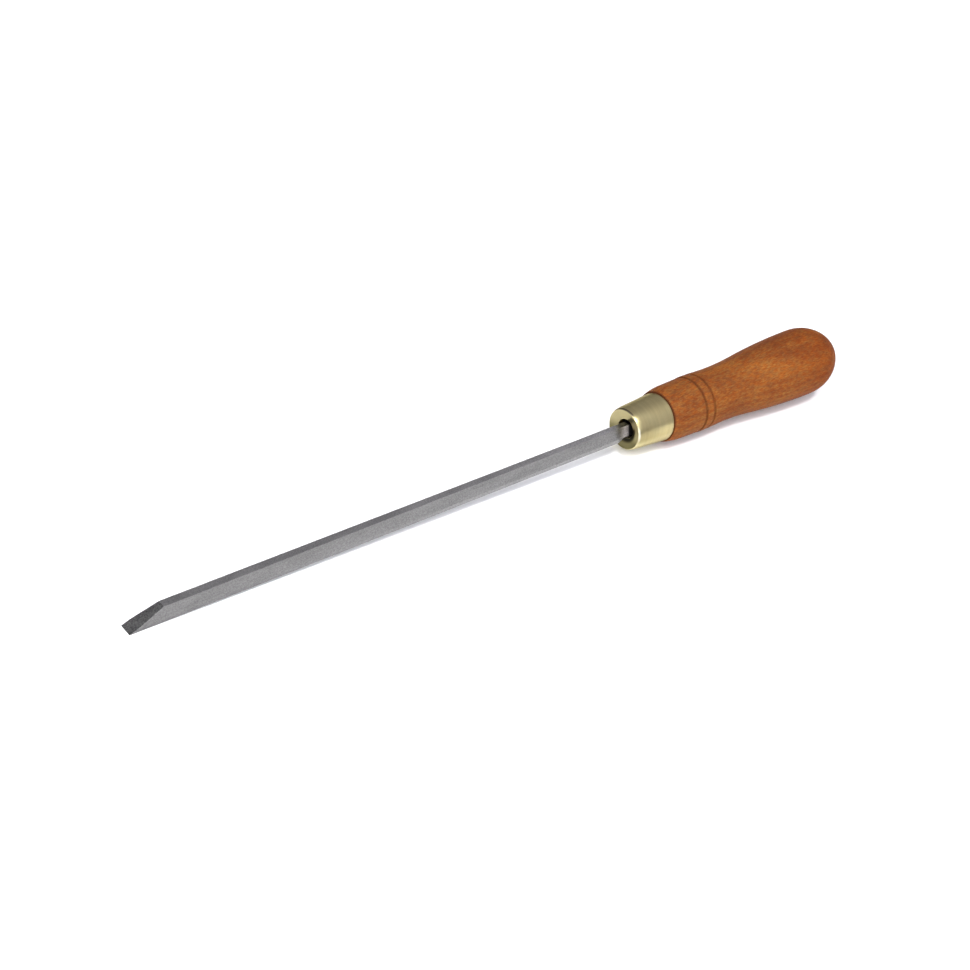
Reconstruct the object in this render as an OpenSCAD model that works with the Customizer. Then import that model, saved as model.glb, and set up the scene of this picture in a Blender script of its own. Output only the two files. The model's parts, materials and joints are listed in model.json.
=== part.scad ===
// Long paring chisel: a narrow bevel-edged blade with a tang, a brass ferrule and a turned wooden handle.
// Each piece is drawn in the tool's own frame: X runs along the handle's axis from the cutting edge
// to the butt, and Z is 0 on that axis. The finished tool is then laid on its back, as it rests on a bench.

/* [Blade] */
// Width of the flat back, and of the cutting edge
blade_width = 6; // [4:0.5:9]
// Length from the cutting edge to the front of the ferrule
blade_length = 262; // [150:1:320]
// Thickness at the cutting end, before the bevel is ground
tip_thickness = 7.1; // [5:0.1:9]
// Thickness at the ferrule, before the heel is cut
neck_thickness = 7.5; // [5:0.1:9]
// Angle of the bevel that makes the cutting edge
edge_angle = 25; // [18:0.5:35]
// Lean of the side bevels away from upright
side_angle = 19; // [8:0.5:24]
// Height of the upright side below the side bevel, at the cutting end
tip_land = 3.6; // [1:0.1:4.5]
// Height of the upright side at the ferrule, before the heel is cut
neck_land = 2.5; // [1:0.1:4.5]
// Distance of the flat back below the handle's axis
back_drop = 4.1; // [3:0.1:5]
// Length of the slanted heel behind the flat back
heel_length = 2.6; // [1.5:0.1:6]
// How far the heel rises above the flat back
heel_rise = 2.2; // [1:0.1:2.2]
// Length of the neck that shows between the heel and the ferrule
neck_length = 2; // [1:0.1:4]

/* [Tang] */
// Length of the tang behind its shoulder
tang_length = 75; // [40:1:95]
// Width of the tang at the shoulder
tang_width = 3.2; // [2.4:0.1:4]
// Height of the tang at the shoulder
tang_height = 3.4; // [2.6:0.1:3.6]
// Width of the tang at its far end
tang_end_width = 2; // [1.5:0.1:2.4]
// Height of the tang at its far end
tang_end_height = 2.4; // [1.5:0.1:3]
// Gap round the tang in its socket
tang_clearance = 0.1; // [0.05:0.01:0.25]
// Spare depth of the socket behind the tang
socket_spare = 2; // [0.5:0.5:6]

/* [Ferrule] */
// Length of the ferrule
ferrule_length = 21; // [14:0.5:30]
// Outside diameter at the front, before the edge is rounded
ferrule_front_d = 20; // [18:0.1:21]
// Outside diameter at the back
ferrule_rear_d = 22.8; // [22:0.1:24]
// Length of the crowned front
crown_length = 3.2; // [2.5:0.1:6]
// Radius of the crown, seen from the side
crown_round = 12; // [8:0.5:20]
// Radius of the front edge
ferrule_edge_round = 0.7; // [0.4:0.1:1]
// Depth of the dished front at the mouth
dish_depth = 1.2; // [1:0.1:2.4]
// Thickness of the sleeve
ferrule_wall = 1.5; // [1:0.1:2]
// Thickness of the front wall, with the dish
front_wall = 4; // [3:0.1:5]
// Gap between the neck's corners and the mouth in the front wall
mouth_clearance = 1; // [0.3:0.05:1.2]
// Gap between the sleeve and the wooden spigot inside it
spigot_clearance = 0.08; // [0.05:0.01:0.2]
// Gap between the front wall and the end of the spigot
spigot_gap = 0.5; // [0.2:0.1:2]

/* [Handle] */
// Length of the handle behind the ferrule
handle_length = 119; // [116:1:150]
// Diameter at the edge of the shoulder that the ferrule seats on
shoulder_d = 23.8; // [23:0.1:25]
// Length of the rounded brow behind the shoulder
brow_length = 9; // [5:0.5:12]
// Diameter where the brow ends
brow_d = 26.2; // [25.6:0.1:27]
// Distance from the shoulder to the end of the grooved collar
collar_length = 27; // [26:0.5:32]
// Distance from the shoulder to the first groove
first_groove_at = 19.7; // [14:0.1:20]
// Distance between the two grooves
groove_spacing = 5.3; // [3:0.1:6]
// Radius of the grooves' round bottom
groove_round = 0.5; // [0.3:0.05:0.8]
// Depth of the grooves
groove_depth = 0.45; // [0.2:0.05:0.5]
// Height of the bead between the grooves
bead_height = 0.15; // [0.1:0.05:0.4]
// Distance from the shoulder to the waist
waist_at = 38.5; // [36:0.5:44]
// Diameter of the waist
waist_d = 26.3; // [24:0.1:27]
// Radius of the hollow curve at the waist
waist_round = 170; // [120:5:220]
// Distance from the shoulder to the thickest place
swell_at = 98; // [85:0.5:101]
// Diameter at the thickest place
swell_d = 32.8; // [31:0.1:36]
// Radius of the nose at the butt
nose_round = 13; // [11:0.1:14]

/* [Hidden] */

// Smoothness of the turned forms, and how far the arcs in their outlines stray from true
turned_facets = 64;
arc_deviation = 0.01;

// How far a cutting shape runs past what it cuts, and the tang into the neck
overrun = 5;

// Stations along the axis
shoulder_x = blade_length + ferrule_length;
neck_x = blade_length - neck_length;
heel_x = neck_x - heel_length;
spigot_x = blade_length + front_wall + spigot_gap;
butt_x = shoulder_x + handle_length;

// Blade: the top is the highest at one end or the other, and the side bevels follow the lands
tallest = max(tip_thickness, neck_thickness);
top_slope = (neck_thickness - tip_thickness) / blade_length;
land_slope = (neck_land - tip_land) / blade_length;
bevel_turn = atan(tan(side_angle) * land_slope);
neck_top_width = blade_width - 2 * tan(side_angle) * (neck_thickness - neck_land);

// Ferrule: the mouth clears the corner of the neck that is farthest from the axis
back_corner = norm([blade_width / 2, back_drop - heel_rise]);
top_corner = norm([neck_top_width / 2, neck_thickness - back_drop]);
mouth_r = max(back_corner, top_corner) + mouth_clearance;
ferrule_taper = (ferrule_rear_d - ferrule_front_d) / 2 / ferrule_length;

// The ferrule's front edge runs into the crown, and the crown runs into the tapered sleeve.
// Each stands proud by a hair where it runs into the next form, so that the two cross
proud = 0.001;
crown_r = ferrule_front_d / 2 + ferrule_taper * crown_length;
taper_angle = atan(ferrule_taper);
crown_run = crown_round * sin(taper_angle);
crown_centre = [crown_r + proud - crown_round * cos(taper_angle), crown_length + crown_run];
edge_centre_run = crown_centre[1] - ferrule_edge_round;
edge_reach = crown_round - ferrule_edge_round + proud;
edge_centre = [crown_centre[0] + sqrt(edge_reach ^ 2 - edge_centre_run ^ 2), ferrule_edge_round];
crown_from = crown_centre[1] - crown_round * edge_centre_run / edge_reach;

// The dish is a cone from the front edge to the mouth, and the front edge runs into it in the same way
dish_run = edge_centre - [mouth_r, dish_depth];
dish_touch = ferrule_edge_round - proud;
dish_angle = asin(dish_touch / norm(dish_run)) - atan(dish_run[1] / dish_run[0]);
dish_rim = edge_centre - dish_touch * [sin(dish_angle), cos(dish_angle)];
dish_apex = [0, dish_depth + mouth_r * tan(dish_angle)];

// Handle: radii, and centres of the arcs as [radius, distance behind the shoulder]
brow_r = brow_d / 2;
shoulder_r = shoulder_d / 2;
waist_r = waist_d / 2;
swell_r = swell_d / 2;
brow_rise = brow_r - shoulder_r;
brow_round = (brow_length ^ 2 + brow_rise ^ 2) / (2 * brow_rise);
brow_centre = [brow_r - brow_round, brow_length];
waist_centre = [waist_r + waist_round, waist_at];

// The hollow curve and the full curve of the swell touch where their slopes agree
swell_rise = swell_r - waist_r;
swell_run = swell_at - waist_at;
both_rounds = (swell_run ^ 2 + swell_rise ^ 2) / (2 * swell_rise);
swell_round = both_rounds - waist_round;
swell_centre = [swell_r - swell_round, swell_at];
turn_at = waist_at + swell_run * waist_round / both_rounds;

// The cheek curves from the swell to the nose and touches both
butt_run = handle_length - swell_at;
cheek_round = (butt_run ^ 2 + swell_r ^ 2 - 2 * butt_run * nose_round) / (2 * (swell_r - nose_round));
cheek_centre = [swell_r - cheek_round, swell_at];
nose_centre = [0, handle_length - nose_round];
cheek_line = (nose_centre - cheek_centre) / norm(nose_centre - cheek_centre);
nose_from = nose_centre[1] + nose_round * cheek_line[1];

// The collar is a cone from the brow to where it meets the hollow curve
collar_r = waist_centre[0] - sqrt(waist_round ^ 2 - (waist_at - collar_length) ^ 2);
collar_taper = (collar_r - brow_r) / (collar_length - brow_length);
second_groove_at = first_groove_at + groove_spacing;
bead_at = first_groove_at + groove_spacing / 2;
bead_round = ((groove_spacing / 2) ^ 2 + bead_height ^ 2) / (2 * bead_height);

// Resting pose: the cutting edge and the swell touch the bench, and the middle of the length is at X = 0
swell_x = shoulder_x + swell_at;
swell_lift = swell_round - swell_r + back_drop;
rest_angle = asin(swell_round / norm([swell_x, swell_lift])) - atan2(swell_lift, swell_x);
rest_length = (butt_x - nose_round) * cos(rest_angle) - back_drop * sin(rest_angle) + nose_round;

function collar_radius(at) = brow_r + collar_taper * (at - brow_length);

// A multiple of 4, so that an arc's ends on the disc's own axes are true
function arc_facets(radius) = 4 * ceil(45 / acos(1 - arc_deviation / radius));

// Lays a piece drawn in the tool's frame on the bench
module laid() {
    translate([-rest_length / 2, 0, 0])
        rotate([0, -rest_angle, 0])
            translate([0, 0, back_drop])
                children();
}

// Turns an outline of [radius, distance along the axis] round the tool's axis
module turned(from_x) {
    translate([from_x, 0, 0])
        rotate([0, 90, 0])
            rotate_extrude($fn = turned_facets)
                children();
}

// A full-width slice of an outline between two distances
module slice(from, to, reach) {
    translate([0, from])
        square([reach, to - from]);
}

module disc(centre, radius) {
    translate(centre)
        circle(radius, $fn = arc_facets(radius));
}

// A bar tapered both ways: its width and height are those at the shoulder, X = 0, and it starts in front of it
module tapered_bar(length, width, height, end_width, end_height) {
    intersection() {
        linear_extrude(2 * height, center = true)
            tapered_outline(length, width, end_width);
        rotate([90, 0, 0])
            linear_extrude(2 * width, center = true)
                tapered_outline(length, height, end_height);
    }
}

module tapered_outline(length, width, end_width) {
    start_width = width + (width - end_width) * overrun / length;
    polygon([
        [-overrun, -start_width / 2],
        [length, -end_width / 2],
        [length, end_width / 2],
        [-overrun, start_width / 2]
    ]);
}

// The blade from the side: flat back, slanted heel, neck, ground top and the bevel of the cutting edge
module blade_side() {
    difference() {
        polygon([
            [0, 0],
            [heel_x, 0],
            [neck_x, heel_rise],
            [spigot_x, heel_rise],
            [spigot_x, tip_thickness + top_slope * spigot_x],
            [0, tip_thickness]
        ]);
        rotate(edge_angle)
            translate([-overrun, 0])
                square([tallest / sin(edge_angle) + 2 * overrun, tallest + overrun]);
    }
}

// What the grinder takes off one side above its land
module side_waste() {
    translate([0, blade_width / 2, tip_land])
        rotate([0, 0, bevel_turn])
            rotate([side_angle, 0, 0])
                translate([-overrun, 0, -overrun])
                    cube([spigot_x + 2 * overrun, blade_width, tallest + 2 * overrun]);
}

// Blade and tang are one forging: the shoulder bears on the end of the spigot
module blade() {
    color("darkgray")
        laid() {
            translate([0, 0, -back_drop])
                difference() {
                    rotate([90, 0, 0])
                        linear_extrude(blade_width, center = true)
                            blade_side();
                    side_waste();
                    mirror([0, 1, 0])
                        side_waste();
                }
            translate([spigot_x, 0, 0])
                tapered_bar(tang_length, tang_width, tang_height, tang_end_width, tang_end_height);
        }
}

// The ferrule is a cup with a tapered sleeve, a crowned edge, a dished front and a round mouth for the neck
module ferrule_outline() {
    difference() {
        union() {
            intersection() {
                disc(edge_centre, ferrule_edge_round);
                slice(0, ferrule_edge_round, ferrule_front_d);
            }
            difference() {
                ferrule_body();
                polygon([[0, -overrun], [edge_centre[0], -overrun], edge_centre, dish_rim, dish_apex]);
            }
        }
        slice(-overrun, front_wall + overrun, mouth_r);
        sleeve_bore(0);
    }
}

// The ferrule before it is dished and bored
module ferrule_body() {
    slice(0, crown_length, edge_centre[0]);
    intersection() {
        disc(crown_centre, crown_round);
        slice(crown_from, ferrule_length, ferrule_front_d);
    }
    polygon([
        [0, crown_length],
        [crown_r, crown_length],
        [ferrule_rear_d / 2, ferrule_length],
        [0, ferrule_length]
    ]);
}

// The tapered space inside the sleeve, made smaller all round by a gap
module sleeve_bore(gap) {
    polygon([
        [0, front_wall],
        [ferrule_front_d / 2 + ferrule_taper * front_wall - ferrule_wall - gap, front_wall],
        [ferrule_rear_d / 2 - ferrule_wall - gap, ferrule_length],
        [0, ferrule_length]
    ]);
}

module ferrule() {
    color("darkkhaki")
        laid()
            turned(blade_length)
                ferrule_outline();
}

// The turned outline from the shoulder to the nose: each full curve runs on inside the next form
module handle_outline() {
    intersection() {
        slice(0, collar_length, swell_r);
        disc(brow_centre, brow_round);
    }
    polygon([[0, brow_length], [brow_r, brow_length], [collar_r, collar_length], [0, collar_length]]);
    difference() {
        slice(collar_length, turn_at, swell_r);
        disc(waist_centre, waist_round);
    }
    intersection() {
        slice(waist_at, swell_at, swell_d);
        disc(swell_centre, swell_round);
    }
    intersection() {
        slice(turn_at, nose_from, swell_d);
        disc(cheek_centre, cheek_round);
    }
    intersection() {
        slice(turn_at, handle_length, swell_d);
        disc(nose_centre, nose_round);
    }
}

// The bead stands proud of the collar between the two grooves
module bead() {
    intersection() {
        slice(first_groove_at, second_groove_at, swell_r);
        disc([collar_radius(bead_at) + bead_height - bead_round, bead_at], bead_round);
    }
}

module grooves() {
    for (at = [first_groove_at, second_groove_at])
        disc([collar_radius(at) + groove_round - groove_depth, at], groove_round);
}

// The spigot fits inside the ferrule's sleeve
module spigot() {
    translate([0, -ferrule_length])
        intersection() {
            sleeve_bore(spigot_clearance);
            slice(front_wall + spigot_gap, ferrule_length + overrun, ferrule_rear_d);
        }
}

// The handle is one turning, with a socket for the tang
module handle() {
    color("sienna")
        laid()
            difference() {
                turned(shoulder_x)
                    difference() {
                        union() {
                            spigot();
                            handle_outline();
                            bead();
                        }
                        grooves();
                    }
                translate([spigot_x, 0, 0])
                    tapered_bar(
                        tang_length + socket_spare,
                        tang_width + 2 * tang_clearance,
                        tang_height + 2 * tang_clearance,
                        tang_end_width + 2 * tang_clearance,
                        tang_end_height + 2 * tang_clearance
                    );
            }
}

blade();
ferrule();
handle();
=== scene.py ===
"""Looks of the paring chisel: a ground steel blade, a satin brass ferrule and a stained wooden handle.

Sizes are in millimetres in the tool's own frame unless a comment says otherwise. X runs along the
handle's axis from the cutting edge to the butt, Y runs across, and Z is 0 on that axis.
"""

import json
import math

import bmesh
import bpy
from mathutils import Matrix, Vector


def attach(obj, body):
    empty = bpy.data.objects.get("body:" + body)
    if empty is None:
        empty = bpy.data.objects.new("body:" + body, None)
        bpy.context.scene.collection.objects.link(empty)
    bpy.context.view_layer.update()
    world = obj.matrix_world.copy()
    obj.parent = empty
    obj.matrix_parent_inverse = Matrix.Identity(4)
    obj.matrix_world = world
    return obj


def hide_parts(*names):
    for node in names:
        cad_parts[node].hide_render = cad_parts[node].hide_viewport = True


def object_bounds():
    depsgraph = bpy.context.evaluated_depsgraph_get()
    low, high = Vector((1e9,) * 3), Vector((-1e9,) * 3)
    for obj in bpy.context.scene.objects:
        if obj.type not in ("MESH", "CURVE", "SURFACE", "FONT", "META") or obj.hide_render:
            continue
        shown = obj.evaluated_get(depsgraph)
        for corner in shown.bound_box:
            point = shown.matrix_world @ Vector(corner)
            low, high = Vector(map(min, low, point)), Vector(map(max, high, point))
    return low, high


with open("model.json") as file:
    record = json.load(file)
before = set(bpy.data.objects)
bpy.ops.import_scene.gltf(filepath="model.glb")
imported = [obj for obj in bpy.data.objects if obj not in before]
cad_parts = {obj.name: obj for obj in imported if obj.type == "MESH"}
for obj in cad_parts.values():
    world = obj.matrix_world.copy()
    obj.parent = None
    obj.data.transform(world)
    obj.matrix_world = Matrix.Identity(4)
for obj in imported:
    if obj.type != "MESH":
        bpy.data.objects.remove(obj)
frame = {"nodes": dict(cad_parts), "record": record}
cad_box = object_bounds()

MM = 0.001

# Blade: the drop of its flat back below the axis, its length in front of the ferrule, its width,
# and where the stretch ends whose edges stay sharp
BACK_DROP = 4.1
BLADE_LENGTH = 262
BLADE_WIDTH = 6
CUTTING_EDGE_END = 1

# Lands along the blade's sides: heights at both ends, where they end, and their slices' length
LAND_AT_TIP = 1.7
LAND_AT_HEEL = 2
LAND_END = 240
LAND_SLICE = 20

# Ferrule
FERRULE_LENGTH = 21
FERRULE_FRONT_R = 10
FERRULE_REAR_R = 11.4
CROWN_LENGTH = 3.2
CROWN_ROUND = 12
FERRULE_EDGE_ROUND = 0.7
DISH_DEPTH = 1.2
FERRULE_WALL = 1.5
FRONT_WALL = 4
MOUTH_R = 4.63
SPIGOT_CLEARANCE = 0.08
SPIGOT_GAP = 0.5

# Handle, with distances from the shoulder that the ferrule seats on
HANDLE_LENGTH = 119
SHOULDER_R = 11.9
BROW_LENGTH = 9
BROW_R = 13.1
COLLAR_LENGTH = 27
GROOVES_AT = (19.7, 25)
GROOVE_ROUND = 0.5
GROOVE_DEPTH = 0.45
BEAD_HEIGHT = 0.15
WAIST_AT = 38.5
WAIST_R = 13.15
WAIST_ROUND = 170
SWELL_AT = 98
SWELL_R = 16.4
NOSE_ROUND = 13

# Socket for the tang, with widths and heights at both ends
TANG_LENGTH = 75
TANG_SIZE = (3.2, 3.4)
TANG_END_SIZE = (2, 2.4)
TANG_CLEARANCE = 0.1
SOCKET_SPARE = 2

# Broken edges of each piece, and how sharp an edge has to be to get one
BLADE_ARRIS = 0.05
FERRULE_ARRIS = 0.12
HANDLE_ARRIS = 0.1
ARRIS_ANGLE = math.radians(11)
ARRIS_SEGMENTS = 2
ARRIS_PROFILE = 0.6

# Steps round the turned pieces, and along each of their curves
TURNED_SEGMENTS = 160
DISH_EDGE_STEPS = 4
EDGE_STEPS = 12
CROWN_STEPS = 10
BROW_STEPS = 12
GROOVE_STEPS = 18
BEAD_STEPS = 12
WAIST_STEPS = 24
SWELL_STEPS = 30
BUTT_STEPS = 18

# Mesh limits: how close two points are one and two places equal, how flat two faces are one,
# how sharp an edge is shaded sharp, and how far large faces lead the shading
WELD = 0.001
SAME_PLACE = 0.01
FLAT_ANGLE = math.radians(0.5)
SHARP_ANGLE = math.radians(50)
FACE_WEIGHT = 100

# Colours of the steel, each as red, green, blue and opacity. Top, sides, lands and cutting bevel
# are one steel at different brightness: painted light and shade for how light falls on each face
STEEL_TOP = (0.355, 0.351, 0.339, 1)
STEEL_SIDE = (0.176, 0.1735, 0.17, 1)
STEEL_LAND = (0.229, 0.227, 0.224, 1)
STEEL_BEVEL = (0.134, 0.133, 0.131, 1)
# painted shade on the blade just in front of the ferrule
STEEL_HEEL_SHADE = (0.05, 0.047, 0.045, 1)
# painted reflection: the sides just in front of the ferrule made lighter, standing in for the lit brass
# they mirror
STEEL_NECK_GLINT = (0.6, 0.56, 0.55, 1)
# forge scale on the tang, and painted shade inside the ferrule's mouth
STEEL_SCALE_AND_MOUTH_SHADE = (0.03, 0.028, 0.027, 1)

# Colours of the brass; the darker front stretch and the underside's painted light multiply the colour below
# them
BRASS_CLEAN = (0.525, 0.444, 0.223, 1)
BRASS_BLOOM = (0.485, 0.419, 0.218, 1)
BRASS_LINE = (0.42, 0.355, 0.18, 1)
# a darker stretch along the sleeve's front
BRASS_FRONT_DARKENING = (0.72, 0.71, 0.69, 1)
# painted light: the underside lighter and bluer, standing in for the bright floor it mirrors
BRASS_UNDERSIDE_LIGHT = (1.22, 1.28, 1.45, 1)
# painted highlight on the rim beside the blade
BRASS_RIM_HIGHLIGHT = (0.8, 0.75, 0.58, 1)
# painted shade on the rim above the blade
BRASS_RIM_SHADE = (0.2, 0.17, 0.11, 1)
BRASS_FRONT = (0.43, 0.375, 0.2, 1)
# painted shade on the lower part of the dished front
BRASS_FRONT_LOW_SHADE = (0.17, 0.15, 0.07, 1)
# painted shadow in the dish below the blade, round the lower side of the mouth
BRASS_MOUTH_SHADOW = (0.02, 0.018, 0.012, 1)
BRASS_GRAZING = (0.45, 0.43, 0.38, 1)

# Colours of the wood: tones of the grain from dark to light; red, olive and butt multiply the colour
# below them, and the last line gives how strongly each groove is stained
WOOD_TONES = (
    (0.1, (0.095, 0.025, 0.008, 1)),
    (0.4, (0.18, 0.049, 0.012, 1)),
    (0.6, (0.245, 0.076, 0.015, 1)),
    (0.9, (0.335, 0.124, 0.024, 1)),
)
WOOD_FLECK = (0.1, 0.028, 0.007, 1)
WOOD_RED = (0.955, 0.88, 0.85, 1)
WOOD_OLIVE = (0.835, 1.075, 1.43, 1)
WOOD_BUTT = (0.92, 0.76, 0.67, 1)
# dark turned lines and joint, also used for painted shade along the joint's top
WOOD_DARK_LINE_AND_SHADE = (0.065, 0.02, 0.007, 1)
# painted shade on the spigot's end inside the ferrule
WOOD_SPIGOT_SHADE = (0.01, 0.009, 0.008, 1)
GROOVE_STAINS = (0.65, 0.5)

# Growth rings: the pith they run round, their phase to a millimetre, and the phase they waver by
PITH = (0, 12, -34)
RING_PHASE = 2.4
RING_WAVER = 14

# Floor, its half width in metres, and the studio round it
FLOOR_SHADES = ((0.9, 0.9, 0.9, 1), (0.92, 0.92, 0.92, 1))
FLOOR_HALF = 3
STUDIO_TINT = (0.92, 0.9, 1, 1)
LIT_SIDE = (0.6, -0.8, 0)
WINDOW_TINT = (0.89, 0.93, 1)

# Camera: where it looks, its distance and angles, how far it sees in metres, and its focal length
# in pixels of the square picture
CAMERA_TARGET = Vector((-13.1, 7.5, 0)) * MM
CAMERA_DISTANCE = 870.4 * MM
CAMERA_YAW = math.radians(50.11)
CAMERA_PITCH = math.radians(37.41)
CAMERA_ROLL = math.radians(16.24)
CAMERA_REACH = 20
FOCAL_PIXELS = 2000
PICTURE_PIXELS = 970
SENSOR_MM = 36

SHOULDER_X = BLADE_LENGTH + FERRULE_LENGTH
SPIGOT_X = BLADE_LENGTH + FRONT_WALL + SPIGOT_GAP
FERRULE_TAPER = (FERRULE_REAR_R - FERRULE_FRONT_R) / FERRULE_LENGTH


def tool_frame():
    """The matrix from the tool's frame to the world, where the tool lies on its flat back."""
    up = -Vector(frame["record"]["mounts"][0]["axis"]).normalized()
    along = Vector((up.z, 0, -up.x))
    across = up.cross(along)
    cutting_edge = Vector((cad_box[0].x, 0, cad_box[0].z))
    turn = Matrix((along, across, up)).transposed().to_4x4()
    return Matrix.Translation(cutting_edge + up * BACK_DROP * MM) @ turn @ Matrix.Scale(MM, 4)


TOOL = tool_frame()


# Mesh helpers

def arc(centre_at, centre_r, bend, start, stop, steps):
    """Points [distance, radius] along a turned curve of radius bend, negative where it is hollow."""
    first = math.asin((start - centre_at) / abs(bend))
    last = math.asin(max(-1, min(1, (stop - centre_at) / abs(bend))))
    angles = [first + (last - first) * step / steps for step in range(steps + 1)]
    return [(centre_at + abs(bend) * math.sin(a), centre_r + bend * math.cos(a)) for a in angles]


def ring_points(bm, x, radius):
    """Points round the tool's axis, or a single one where the radius is 0."""
    if radius < WELD:
        return [bm.verts.new((x, 0, 0))]
    angles = [2 * math.pi * step / TURNED_SEGMENTS for step in range(TURNED_SEGMENTS)]
    return [bm.verts.new((x, radius * math.sin(a), radius * math.cos(a))) for a in angles]


def turned(outline, start_x, closed):
    """Turns an outline of [distance, radius] round the axis; an open one starts and ends on the axis."""
    bm = bmesh.new()
    rings = [ring_points(bm, start_x + at, radius) for at, radius in outline]
    pairs = list(zip(rings, rings[1:]))
    if closed:
        pairs.append((rings[-1], rings[0]))
    for ring, following in pairs:
        for step in range(TURNED_SEGMENTS):
            corners = [ring[step % len(ring)], ring[(step + 1) % len(ring)]]
            corners += [following[(step + 1) % len(following)], following[step % len(following)]]
            bm.faces.new(dict.fromkeys(corners))
    bmesh.ops.recalc_face_normals(bm, faces=bm.faces)
    return bm


def break_edges(bm, width, keep=lambda edge: True):
    """Rounds the sharp edges that keep() accepts, as a finished piece has them."""
    sharp = [e for e in bm.edges if e.is_manifold and e.calc_face_angle() > ARRIS_ANGLE and keep(e)]
    bmesh.ops.bevel(
        bm,
        geom=sharp,
        offset=width,
        segments=ARRIS_SEGMENTS,
        profile=ARRIS_PROFILE,
        affect="EDGES",
        clamp_overlap=True,
    )


def tapered_bar(start_x, length, size, end_size, clearance):
    """A bar along X that tapers from size to end_size, each [width, height], with a gap all round."""
    bm = bmesh.new()
    ends = []
    for x, (width, height) in ((start_x, size), (start_x + length, end_size)):
        y = width / 2 + clearance
        z = height / 2 + clearance
        ends.append([bm.verts.new(corner) for corner in ((x, -y, -z), (x, y, -z), (x, y, z), (x, -y, z))])
    near, far = ends
    bm.faces.new(near)
    bm.faces.new(reversed(far))
    for corner in range(4):
        after = (corner + 1) % 4
        bm.faces.new((near[corner], far[corner], far[after], near[after]))
    bmesh.ops.recalc_face_normals(bm, faces=bm.faces)
    return bm


def add_object(name, bm):
    """Makes an object of a mesh and puts it in the scene."""
    mesh = bpy.data.meshes.new(name)
    bm.to_mesh(mesh)
    bm.free()
    obj = bpy.data.objects.new(name, mesh)
    bpy.context.scene.collection.objects.link(obj)
    return obj


def add_tool_object(name, bm):
    """Makes an object of a mesh drawn in the tool's frame, laid on the floor as the tool rests."""
    bmesh.ops.transform(bm, matrix=TOOL, verts=bm.verts)
    return add_object(name, bm)


def finish_piece(obj, node, material):
    """Shades a piece smooth, gives it its material and lets it stand for its CAD node."""
    for face in obj.data.polygons:
        face.use_smooth = True
    obj.data.set_sharp_from_angle(angle=SHARP_ANGLE)
    weighted = obj.modifiers.new("even_shading", "WEIGHTED_NORMAL")
    weighted.weight = FACE_WEIGHT
    weighted.keep_sharp = True
    obj.data.materials.append(material)
    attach(obj, "root")
    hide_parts(node)


# Shader helpers

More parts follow.
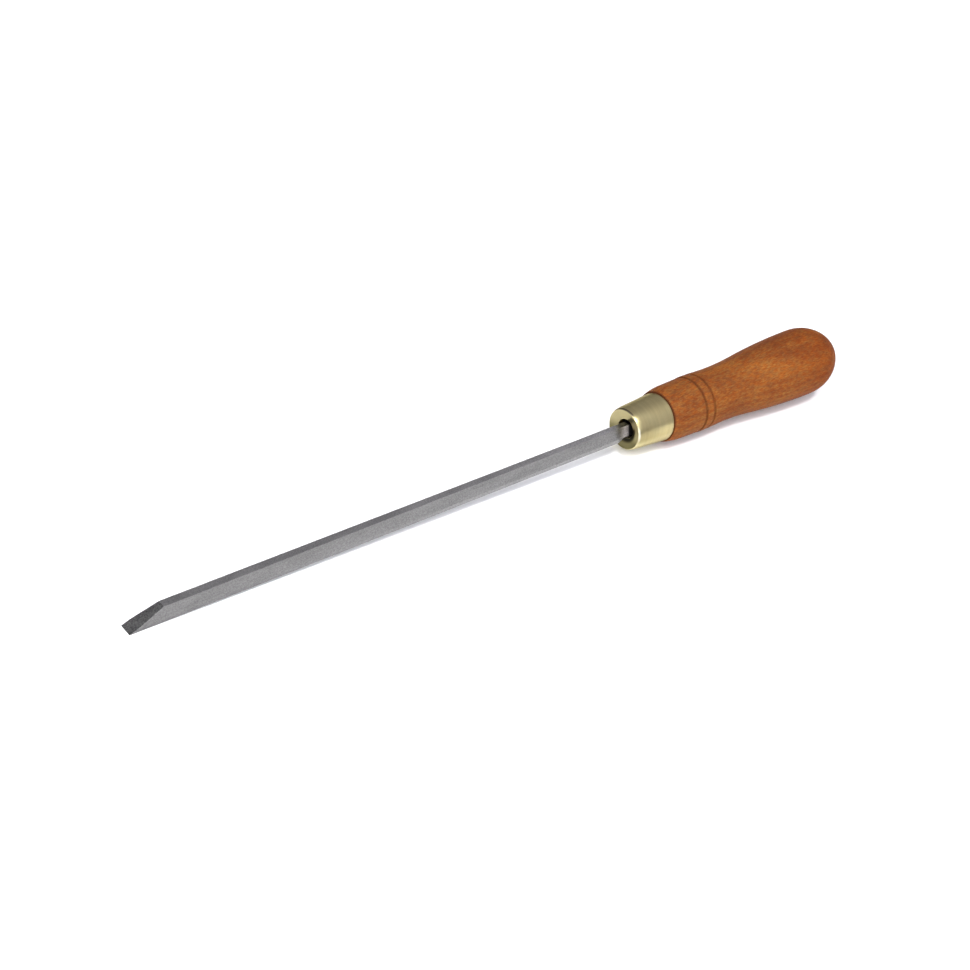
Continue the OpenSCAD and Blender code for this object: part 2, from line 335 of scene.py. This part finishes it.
class Nodes:
    """The nodes of a material or of the world. Most calls add one and return the socket that leaves it."""

    def __init__(self, owner):
        owner.use_nodes = True
        self.tree = owner.node_tree

    def node(self, kind, inputs, **settings):
        added = self.tree.nodes.new(kind)
        for setting, value in settings.items():
            setattr(added, setting, value)
        for key, value in inputs.items():
            self.feed(added.inputs[key], value)
        return added

    def feed(self, socket, value):
        if isinstance(value, bpy.types.NodeSocket):
            self.tree.links.new(value, socket)
        else:
            socket.default_value = value

    def set(self, node_name, **inputs):
        """Feeds the sockets of a node that is already there."""
        for name, value in inputs.items():
            self.feed(self.tree.nodes[node_name].inputs[name.replace("_", " ")], value)

    def place(self):
        """The point on the tool, in its own frame in millimetres."""
        coordinates = self.node("ShaderNodeTexCoord", {}).outputs["Object"]
        where, turn, scale = TOOL.decompose()
        inputs = {"Vector": coordinates, "Location": where, "Rotation": turn.to_euler(), "Scale": scale}
        return self.node("ShaderNodeMapping", inputs, vector_type="TEXTURE").outputs["Vector"]

    def split(self, vector):
        return self.node("ShaderNodeSeparateXYZ", {"Vector": vector}).outputs

    def facing(self, normal):
        """The way the surface faces, split into X, Y and Z."""
        return self.split(self.node("ShaderNodeNewGeometry", {}).outputs[normal])

    def vectors(self, operation, first, second=(0, 0, 0)):
        return self.node("ShaderNodeVectorMath", {0: first, 1: second}, operation=operation).outputs

    def from_axis(self, place):
        """The distance of a place from the tool's axis."""
        flat = self.vectors("MULTIPLY", place, (0, 1, 1))["Vector"]
        return self.vectors("LENGTH", flat)["Value"]

    def noise(self, place, per_mm, detail=3, roughness=0.5):
        """Noise whose cycles to a millimetre along X, Y and Z are per_mm."""
        stretched = self.vectors("MULTIPLY", place, per_mm)["Vector"]
        inputs = {"Vector": stretched, "Scale": 1, "Detail": detail, "Roughness": roughness}
        return self.node("ShaderNodeTexNoise", inputs, normalize=True).outputs["Fac"]

    def maths(self, operation, first, second=0.0):
        return self.node("ShaderNodeMath", {0: first, 1: second}, operation=operation).outputs["Value"]

    def plus(self, first, second):
        return self.maths("ADD", first, second)

    def minus(self, first, second):
        return self.maths("SUBTRACT", first, second)

    def times(self, first, second):
        return self.maths("MULTIPLY", first, second)

    def span(self, value, low, high, to_low=0.0, to_high=1.0):
        """Maps low to high smoothly onto to_low to to_high, and holds the ends."""
        inputs = {"Value": value, "From Min": low, "From Max": high, "To Min": to_low, "To Max": to_high}
        return self.node("ShaderNodeMapRange", inputs, interpolation_type="SMOOTHSTEP").outputs["Result"]

    def vary(self, noise, to_low, to_high, reach=0.2):
        """Maps noise that swings by reach about its middle onto to_low to to_high."""
        middle = 0.5
        return self.span(noise, middle - reach, middle + reach, to_low, to_high)

    def mix(self, share, first, second, blend="MIX"):
        added = self.node("ShaderNodeMix", {}, data_type="RGBA", blend_type=blend)
        sockets = [s for s in added.inputs if s.type == "RGBA"]
        self.feed(added.inputs["Factor"], share)
        self.feed(sockets[0], first)
        self.feed(sockets[1], second)
        return next(s for s in added.outputs if s.type == "RGBA")

    def shade(self, base, factor, share=1):
        """Multiplies a colour by a number or another colour."""
        return self.mix(share, base, factor, "MULTIPLY")

    def ramp(self, value, stops):
        """Colours by value, from stops of [value, colour]."""
        added = self.node("ShaderNodeValToRGB", {"Fac": value})
        elements = added.color_ramp.elements
        while len(elements) < len(stops):
            elements.new(1)
        for element, (position, shade) in zip(elements, stops):
            element.position = position
            element.color = shade
        return added.outputs["Color"]

    def bump(self, height, depth_mm, strength):
        inputs = {"Height": height, "Distance": depth_mm * MM, "Strength": strength}
        return self.node("ShaderNodeBump", inputs).outputs["Normal"]


def new_material(name):
    material = bpy.data.materials.new(name)
    return material, Nodes(material)


# Steel

def steel_faces(nodes, x, side, land, bevel):
    """The steel's colour on top, sides, lands and cutting bevel before wear, with painted light and shade
    along the blade, and where its neck shows.
    """
    from_ferrule = nodes.minus(x, BLADE_LENGTH)
    # painted light and shade: the top lighter towards the ferrule and darker just in front of it, and the
    # whole blade lighter away from the tip
    top_painted_light = nodes.span(from_ferrule, -62, -22, 1, 1.33)
    top_painted_shade = nodes.span(from_ferrule, -18, -5, 1, 0.72)
    painted_light_away_from_tip = nodes.span(x, 20, 150, 1, 1.1)
    # painted shade: the lands darker towards the tip, where they mirror the floor's shadow beside the blade
    land_shade_at_tip = nodes.span(x, 0, BLADE_LENGTH, 0.68, 1.02)
    # painted shade on the blade just in front of the ferrule
    heel = nodes.span(from_ferrule, -7, -2, 0, 0.6)
    # painted reflection on the sides just in front of the ferrule
    neck = nodes.times(side, nodes.span(from_ferrule, -6, -1))
    top = nodes.shade(nodes.shade(STEEL_TOP, top_painted_light), top_painted_shade)
    base = nodes.shade(nodes.mix(side, top, STEEL_SIDE), painted_light_away_from_tip)
    base = nodes.mix(heel, base, STEEL_HEEL_SHADE)
    base = nodes.mix(neck, base, STEEL_NECK_GLINT)
    base = nodes.mix(land, base, nodes.shade(STEEL_LAND, land_shade_at_tip))
    return nodes.mix(bevel, base, STEEL_BEVEL), neck


def steel():
    """Ground steel: fine lines along the blade, coarser ones across the cutting bevel, and duller sides."""
    material, nodes = new_material("ground_steel")
    place = nodes.place()
    x = nodes.split(place)["X"]
    lines = nodes.noise(place, (0.06, 4, 4), detail=4, roughness=0.6)
    cloud = nodes.noise(place, (0.06, 0.2, 0.2))
    grain = nodes.noise(place, (1.6, 2.2, 2.2), detail=2, roughness=0.6)
    scratches = nodes.noise(place, (5, 0.3, 1), detail=4, roughness=0.6)
    facing = nodes.facing("True Normal")
    sideways = nodes.maths("ABSOLUTE", facing["Y"])
    side = nodes.span(sideways, 0.5, 0.8)
    land = nodes.span(sideways, 0.984, 0.994)
    bevel = nodes.span(facing["X"], -0.3, -0.4)
    base, neck = steel_faces(nodes, x, side, land, bevel)
    speckle = nodes.times(nodes.vary(grain, -0.22, 0.22), nodes.span(bevel, 0, 1, 1, 1.8))
    wear = nodes.plus(nodes.vary(cloud, 0.92, 1.08), speckle)
    wear = nodes.plus(wear, nodes.vary(lines, 0.07, -0.07))
    base = nodes.shade(base, wear)
    # forge scale and painted shade inside the mouth
    inside_mouth = nodes.span(x, BLADE_LENGTH + 0.2, BLADE_LENGTH + 1.4)
    base = nodes.mix(inside_mouth, base, STEEL_SCALE_AND_MOUTH_SHADE)
    height = nodes.plus(lines, nodes.times(scratches, bevel))
    height = nodes.plus(height, nodes.times(grain, 0.5))
    rough = nodes.plus(nodes.vary(cloud, 0.28, 0.36), nodes.times(bevel, 0.08))
    nodes.set(
        "Principled BSDF",
        Base_Color=base,
        Metallic=1.0,
        Roughness=nodes.plus(rough, nodes.times(neck, 0.25)),
        Normal=nodes.bump(height, 0.02, 0.3),
    )
    return material


# Brass

def brass_sleeve(nodes, place, lines, bloom):
    """The brass's colour along the sleeve: bloom, turning lines, bands, painted light on the underside and
    the far side, and a darker stretch behind the rim.
    """
    spot = nodes.split(place)
    base = nodes.mix(nodes.span(bloom, 0.35, 0.7), BRASS_CLEAN, BRASS_BLOOM)
    base = nodes.mix(nodes.span(lines, 0.4, 0.75, 0, 0.35), base, BRASS_LINE)
    bands = nodes.noise(place, (0.9, 0.04, 0.04), detail=2)
    base = nodes.shade(base, nodes.vary(bands, 0.96, 1.04, reach=0.15))
    # painted light on the underside
    underside = nodes.span(spot["Z"], 0.5, -3)
    base = nodes.shade(base, BRASS_UNDERSIDE_LIGHT, underside)
    # painted light: the brass made lighter towards the far side
    base = nodes.shade(base, nodes.span(spot["Y"], -1, 2.5, 1, 1.15))
    # darker towards the sleeve's front, below its top and above the underside
    front_darkening = nodes.span(spot["X"], BLADE_LENGTH + 3, BLADE_LENGTH + 16, 1, 0)
    front_darkening = nodes.times(front_darkening, nodes.span(spot["Z"], 7, 3))
    front_darkening = nodes.times(front_darkening, nodes.minus(1, underside))
    return nodes.shade(base, BRASS_FRONT_DARKENING, front_darkening)


def brass_rim(nodes, place, base):
    """Adds a painted highlight on the rim beside the blade and painted shade on the rim above it."""
    spot = nodes.split(place)
    edge = nodes.span(spot["X"], BLADE_LENGTH + 0.7, BLADE_LENGTH + 1.2, 1, 0)
    beside_blade = nodes.times(nodes.span(spot["Z"], 7, 4), nodes.span(spot["Z"], -2, 4))
    # painted highlight on the rim beside the blade
    base = nodes.mix(nodes.times(edge, beside_blade), base, BRASS_RIM_HIGHLIGHT)
    # painted shade on the rim above the blade
    above_blade = nodes.times(nodes.span(spot["Z"], 3, 6), nodes.span(spot["Y"], -3.5, -1.5))
    return nodes.mix(nodes.times(edge, above_blade), base, BRASS_RIM_SHADE)


def brass_front(nodes, place, base):
    """Adds the dished front, with painted shade on its lower part and a painted shadow round the lower side
    of the mouth.
    """
    spot = nodes.split(place)
    dish = nodes.span(nodes.facing("Normal")["X"], -0.85, -0.93)
    # painted shade: the dish darker towards the bottom
    front = nodes.mix(nodes.span(spot["Z"], 2, -4), BRASS_FRONT, BRASS_FRONT_LOW_SHADE)
    # painted shadow round the lower side of the mouth, under the blade
    round_mouth = nodes.span(nodes.from_axis(place), MOUTH_R + 1, MOUTH_R + 2.6, 1, 0)
    below = nodes.span(nodes.plus(spot["Y"], spot["Z"]), 0, -2.5)
    front = nodes.mix(nodes.times(round_mouth, below), front, BRASS_MOUTH_SHADOW)
    return nodes.mix(dish, base, front)


def brass():
    """Satin brass with fine turning lines round the ferrule and a dull olive bloom."""
    material, nodes = new_material("satin_brass")
    place = nodes.place()
    lines = nodes.noise(place, (5, 0.12, 0.12), detail=4, roughness=0.65)
    bloom = nodes.noise(place, (0.12, 0.12, 0.12), detail=4)
    base = brass_sleeve(nodes, place, lines, bloom)
    base = brass_rim(nodes, place, base)
    base = brass_front(nodes, place, base)
    nodes.set(
        "Principled BSDF",
        Base_Color=base,
        Metallic=1.0,
        Roughness=nodes.vary(bloom, 0.29, 0.35),
        Specular_Tint=BRASS_GRAZING,
        Normal=nodes.bump(lines, 0.01, 0.2),
    )
    return material


# Wood

def wood_figure(nodes, place, fibres, flecks):
    """The wood's grain: patches, growth rings, long fibres and short dark flecks."""
    patches = nodes.noise(place, (0.035, 0.08, 0.08))
    waver = nodes.noise(place, (0.02, 0.12, 0.12), detail=2)
    from_pith = nodes.from_axis(nodes.vectors("SUBTRACT", place, PITH)["Vector"])
    growth = nodes.plus(nodes.times(from_pith, RING_PHASE), nodes.times(waver, RING_WAVER))
    ring_tone = nodes.span(nodes.maths("SINE", growth), -1, 1, -0.05, 0.05)
    tone = nodes.plus(nodes.vary(patches, -0.11, 0.11, reach=0.25), ring_tone)
    tone = nodes.plus(tone, nodes.vary(fibres, 0.74, 0.26, reach=0.25))
    base = nodes.ramp(tone, WOOD_TONES)
    return nodes.mix(nodes.span(flecks, 0.54, 0.68, 0, 0.45), base, WOOD_FLECK)


def wood_stain(nodes, place, base):
    """Adds the stain: red and olive clouds, a redder butt, and dark turned lines and joint, with painted
    shade along the joint's top and on the spigot's end.
    """
    spot = nodes.split(place)
    behind_shoulder = nodes.minus(spot["X"], SHOULDER_X)
    clouds = nodes.noise(place, (0.3, 0.9, 0.9), detail=4, roughness=0.65)
    base = nodes.shade(base, nodes.mix(nodes.vary(clouds, 0, 1, reach=0.15), WOOD_RED, WOOD_OLIVE))
    base = nodes.shade(base, WOOD_BUTT, nodes.span(behind_shoulder, 60, HANDLE_LENGTH))
    for at, strength in zip(GROOVES_AT, GROOVE_STAINS):
        away = nodes.maths("ABSOLUTE", nodes.minus(behind_shoulder, at))
        base = nodes.mix(nodes.span(away, 0.3, 1.2, strength, 0), base, WOOD_DARK_LINE_AND_SHADE)
    joint = nodes.span(behind_shoulder, 0.05, 0.3, 0.75, 0)
    base = nodes.mix(joint, base, WOOD_DARK_LINE_AND_SHADE)
    # painted shade: the joint line widened along the top
    joint_top_shade = nodes.span(behind_shoulder, 0.3, 0.9, 0.85, 0)
    base = nodes.mix(nodes.times(joint_top_shade, nodes.span(spot["Z"], 1, 7)), base, WOOD_DARK_LINE_AND_SHADE)
    # painted shade on the spigot's end
    spigot_end = nodes.span(spot["X"], SPIGOT_X + 0.5, SPIGOT_X + 2, 1, 0)
    return nodes.mix(spigot_end, base, WOOD_SPIGOT_SHADE)


def wood():
    """Stained wood under a thin satin varnish."""
    material, nodes = new_material("stained_wood")
    place = nodes.place()
    fibres = nodes.noise(place, (0.4, 2, 2), detail=5, roughness=0.7)
    flecks = nodes.noise(place, (0.5, 2.6, 2.6), detail=2)
    figure = wood_figure(nodes, place, fibres, flecks)
    nodes.set(
        "Principled BSDF",
        Base_Color=wood_stain(nodes, place, figure),
        Roughness=nodes.vary(fibres, 0.5, 0.6),
        Specular_IOR_Level=0.02,
        Normal=nodes.bump(nodes.plus(fibres, flecks), 0.06, 0.3),
    )
    return material


# Pieces

def lower_lands(bm):
    """Grinds the side bevels down to low lands, in slices, because the bevels twist along the blade."""
    for slice_x in range(LAND_SLICE, LAND_END + LAND_SLICE, LAND_SLICE):
        everything = bm.verts[:] + bm.edges[:] + bm.faces[:]
        bmesh.ops.bisect_plane(bm, geom=everything, plane_co=(slice_x, 0, 0), plane_no=(1, 0, 0))
    for vert in bm.verts:
        height = vert.co.z + BACK_DROP
        beside = math.isclose(abs(vert.co.y), BLADE_WIDTH / 2, abs_tol=SAME_PLACE)
        if not beside or height < LAND_AT_TIP / 2 or vert.co.x > LAND_END + LAND_SLICE / 2:
            continue
        at_tip = vert.co.x < LAND_SLICE / 2
        rise = 0 if at_tip else vert.co.x / LAND_END
        land = LAND_AT_TIP + (LAND_AT_HEEL - LAND_AT_TIP) * rise
        if at_tip:
            vert.co.x *= land / height
        vert.co.z = land - BACK_DROP


def blade():
    """The CAD blade with lower lands and its long edges just broken; the cutting edge stays sharp."""
    bm = bmesh.new()
    bm.from_mesh(frame["nodes"]["blade"].data)
    bmesh.ops.transform(bm, matrix=TOOL.inverted(), verts=bm.verts)
    bmesh.ops.remove_doubles(bm, verts=bm.verts, dist=WELD)
    bmesh.ops.dissolve_limit(bm, angle_limit=FLAT_ANGLE, verts=bm.verts, edges=bm.edges)
    lower_lands(bm)
    break_edges(bm, BLADE_ARRIS, lambda edge: max(v.co.x for v in edge.verts) > CUTTING_EDGE_END)
    finish_piece(add_tool_object("blade_ground", bm), "blade", steel())


def sleeve_radius(at, gap):
    """Inside radius of the ferrule's sleeve at a distance from its front, made smaller by a gap."""
    return FERRULE_FRONT_R + FERRULE_TAPER * at - FERRULE_WALL - gap


def ferrule_outline():
    """The closed outline of the ferrule's wall: dished front, rounded edge, crown, sleeve and mouth."""
    lean = math.atan(FERRULE_TAPER)
    crown_at = CROWN_LENGTH + CROWN_ROUND * math.sin(lean)
    crown_r = FERRULE_FRONT_R + FERRULE_TAPER * CROWN_LENGTH - CROWN_ROUND * math.cos(lean)
    edge_run = crown_at - FERRULE_EDGE_ROUND
    edge_reach = CROWN_ROUND - FERRULE_EDGE_ROUND
    edge_r = crown_r + math.sqrt(edge_reach ** 2 - edge_run ** 2)
    crown_from = crown_at - CROWN_ROUND * edge_run / edge_reach
    dish_run = edge_r - MOUTH_R
    dish_drop = DISH_DEPTH - FERRULE_EDGE_ROUND
    dish_angle = math.asin(FERRULE_EDGE_ROUND / math.hypot(dish_run, dish_drop))
    dish_angle += math.atan(dish_drop / dish_run)
    dish_from = FERRULE_EDGE_ROUND * (1 - math.cos(dish_angle))
    outline = arc(FERRULE_EDGE_ROUND, edge_r, -FERRULE_EDGE_ROUND, dish_from, 0, DISH_EDGE_STEPS)
    outline += arc(FERRULE_EDGE_ROUND, edge_r, FERRULE_EDGE_ROUND, 0, crown_from, EDGE_STEPS)[1:]
    outline += arc(crown_at, crown_r, CROWN_ROUND, crown_from, CROWN_LENGTH, CROWN_STEPS)[1:]
    outline += [
        (FERRULE_LENGTH, FERRULE_REAR_R),
        (FERRULE_LENGTH, sleeve_radius(FERRULE_LENGTH, 0)),
        (FRONT_WALL, sleeve_radius(FRONT_WALL, 0)),
        (FRONT_WALL, MOUTH_R),
        (DISH_DEPTH, MOUTH_R),
    ]
    return outline


def ferrule():
    """A tapered cup with a crowned edge, a dished front and a round mouth."""
    bm = turned(ferrule_outline(), BLADE_LENGTH, closed=True)
    break_edges(bm, FERRULE_ARRIS)
    finish_piece(add_tool_object("ferrule_turned", bm), "ferrule", brass())


def collar_end_radius():
    """Radius where the collar runs into the hollow curve of the waist."""
    return WAIST_R + WAIST_ROUND - math.sqrt(WAIST_ROUND ** 2 - (WAIST_AT - COLLAR_LENGTH) ** 2)


def collar_radius(at):
    """Radius of the straight collar between brow and waist."""
    slope = (collar_end_radius() - BROW_R) / (COLLAR_LENGTH - BROW_LENGTH)
    return BROW_R + slope * (at - BROW_LENGTH)


def collar_outline():
    """Brow, first groove, bead and second groove."""
    brow_rise = BROW_R - SHOULDER_R
    brow_round = (BROW_LENGTH ** 2 + brow_rise ** 2) / (2 * brow_rise)
    lift = GROOVE_ROUND - GROOVE_DEPTH
    half = math.sqrt(GROOVE_ROUND ** 2 - lift ** 2)
    first, second = GROOVES_AT
    bead_half = (second - first) / 2
    bead_at = first + bead_half
    bead_round = (bead_half ** 2 + BEAD_HEIGHT ** 2) / (2 * BEAD_HEIGHT)
    bead_centre = collar_radius(bead_at) + BEAD_HEIGHT - bead_round

    def groove(at):
        return arc(at, collar_radius(at) + lift, -GROOVE_ROUND, at - half, at + half, GROOVE_STEPS)

    outline = arc(BROW_LENGTH, BROW_R - brow_round, brow_round, 0, BROW_LENGTH, BROW_STEPS)
    outline += groove(first)
    outline += arc(bead_at, bead_centre, bead_round, first + half, second - half, BEAD_STEPS)[1:-1]
    outline += groove(second)
    return outline


def grip_outline():
    """Waist, swell and butt, in arcs that run smoothly into each other."""
    swell_run = SWELL_AT - WAIST_AT
    swell_rise = SWELL_R - WAIST_R
    both_rounds = (swell_run ** 2 + swell_rise ** 2) / (2 * swell_rise)
    swell_round = both_rounds - WAIST_ROUND
    turn_at = WAIST_AT + swell_run * WAIST_ROUND / both_rounds
    butt_run = HANDLE_LENGTH - SWELL_AT
    cheek_round = butt_run ** 2 + SWELL_R ** 2 - 2 * butt_run * NOSE_ROUND
    cheek_round /= 2 * (SWELL_R - NOSE_ROUND)
    nose_at = HANDLE_LENGTH - NOSE_ROUND
    cheek_end = SWELL_AT + (nose_at - SWELL_AT) * cheek_round / (cheek_round - NOSE_ROUND)
    outline = arc(WAIST_AT, WAIST_R + WAIST_ROUND, -WAIST_ROUND, COLLAR_LENGTH, turn_at, WAIST_STEPS)
    outline += arc(SWELL_AT, SWELL_R - swell_round, swell_round, turn_at, SWELL_AT, SWELL_STEPS)[1:]
    outline += arc(SWELL_AT, SWELL_R - cheek_round, cheek_round, SWELL_AT, cheek_end, BUTT_STEPS)[1:]
    outline += arc(nose_at, 0, NOSE_ROUND, cheek_end, HANDLE_LENGTH, BUTT_STEPS)[1:]
    return outline


def handle_outline():
    """The turned outline from the front of the spigot to the end of the butt."""
    spigot_at = SPIGOT_X - SHOULDER_X
    spigot = [
        (spigot_at, 0),
        (spigot_at, sleeve_radius(FERRULE_LENGTH + spigot_at, SPIGOT_CLEARANCE)),
        (0, sleeve_radius(FERRULE_LENGTH, SPIGOT_CLEARANCE)),
    ]
    return spigot + collar_outline() + grip_outline()


def cut_away(obj, cutter):
    """Takes the cutter's shape out of an object's mesh and deletes the cutter."""
    cut = obj.modifiers.new("socket", "BOOLEAN")
    cut.operation = "DIFFERENCE"
    cut.object = cutter
    bpy.context.view_layer.update()
    evaluated = obj.evaluated_get(bpy.context.evaluated_depsgraph_get())
    obj.data = bpy.data.meshes.new_from_object(evaluated)
    obj.modifiers.clear()
    bpy.data.objects.remove(cutter)


def handle():
    """The turned handle with the tang's socket cut into its spigot."""
    bm = turned(handle_outline(), SHOULDER_X, closed=False)
    break_edges(bm, HANDLE_ARRIS)
    obj = add_tool_object("handle_turned", bm)
    socket_length = TANG_LENGTH + SOCKET_SPARE
    socket = tapered_bar(SPIGOT_X, socket_length, TANG_SIZE, TANG_END_SIZE, TANG_CLEARANCE)
    cut_away(obj, add_tool_object("socket_cutter", socket))
    finish_piece(obj, "handle", wood())


# Stage

def floor_paint():
    """Plain matt white, with the faintest unevenness."""
    material, nodes = new_material("pale_floor")
    unevenness = nodes.noise(nodes.place(), (0.01, 0.01, 0.01), detail=2)
    nodes.set(
        "Principled BSDF",
        Base_Color=nodes.mix(unevenness, *FLOOR_SHADES),
        Roughness=0.9,
        Specular_IOR_Level=0.1,
    )
    return material


def floor():
    """A square of floor that reaches past the picture on all sides."""
    bm = bmesh.new()
    corners = ((-1, -1), (1, -1), (1, 1), (-1, 1))
    bm.faces.new([bm.verts.new((x * FLOOR_HALF, y * FLOOR_HALF, 0)) for x, y in corners])
    obj = add_object("floor", bm)
    obj.data.materials.append(floor_paint())


def surroundings():
    """A studio that is lighter to the near right and overhead, and darker to the far left."""
    world = bpy.data.worlds.new("studio")
    bpy.context.scene.world = world
    nodes = Nodes(world)
    direction = nodes.node("ShaderNodeTexCoord", {}).outputs["Generated"]
    towards_light = nodes.vectors("DOT_PRODUCT", direction, LIT_SIDE)["Value"]
    side_level = nodes.span(towards_light, -0.7, 0.8, 0.31, 0.7)
    height_level = nodes.span(nodes.split(direction)["Z"], 0, 0.35, 0.6, 1)
    nodes.set("Background", Color=STUDIO_TINT, Strength=nodes.times(side_level, height_level))


def softbox(name, azimuth, elevation, distance, width, height, radiance, tint=(1, 1, 1)):
    """A rectangular soft light that faces the middle of the tool; angles in degrees, sizes in metres."""
    light = bpy.data.lights.new(name, "AREA")
    light.shape = "RECTANGLE"
    light.size = width
    light.size_y = height
    light.energy = radiance * width * height * math.pi
    light.color = tint
    obj = bpy.data.objects.new(name, light)
    bpy.context.scene.collection.objects.link(obj)
    flat = math.cos(math.radians(elevation))
    direction = Vector((
        flat * math.cos(math.radians(azimuth)),
        flat * math.sin(math.radians(azimuth)),
        math.sin(math.radians(elevation)),
    ))
    obj.location = direction * distance
    obj.rotation_euler = direction.to_track_quat("Z", "Y").to_euler()


def lights():
    """A small high key, a wide window on the same side, and two strips beyond the cutting edge."""
    softbox("key", azimuth=-90, elevation=72, distance=5, width=0.6, height=0.6, radiance=115)
    softbox(
        "window", azimuth=-108, elevation=40, distance=7, width=7, height=8, radiance=1.5, tint=WINDOW_TINT
    )
    softbox("side_strip", azimuth=186, elevation=45, distance=2, width=1.5, height=0.8, radiance=9.6)
    softbox("low_strip", azimuth=230, elevation=13, distance=2, width=1.6, height=0.4, radiance=5)


def camera():
    """A camera at the picture's viewing angle, turned a little about its own line of sight."""
    data = bpy.data.cameras.new("camera")
    data.sensor_width = SENSOR_MM
    data.lens = FOCAL_PIXELS * SENSOR_MM / PICTURE_PIXELS
    data.clip_end = CAMERA_REACH
    flat = math.cos(CAMERA_PITCH)
    look = Vector((math.sin(CAMERA_YAW) * flat, math.cos(CAMERA_YAW) * flat, -math.sin(CAMERA_PITCH)))
    level_right = Vector((math.cos(CAMERA_YAW), -math.sin(CAMERA_YAW), 0))
    level_up = level_right.cross(look)
    right = level_right * math.cos(CAMERA_ROLL) + level_up * math.sin(CAMERA_ROLL)
    up = level_up * math.cos(CAMERA_ROLL) - level_right * math.sin(CAMERA_ROLL)
    turn = Matrix((right, up, -look)).transposed().to_4x4()
    obj = bpy.data.objects.new("camera", data)
    bpy.context.scene.collection.objects.link(obj)
    obj.matrix_world = Matrix.Translation(CAMERA_TARGET - look * CAMERA_DISTANCE) @ turn
    bpy.context.scene.camera = obj


blade()
ferrule()
handle()
floor()
surroundings()
lights()
camera()
bpy.context.scene.view_settings.view_transform = "Standard"
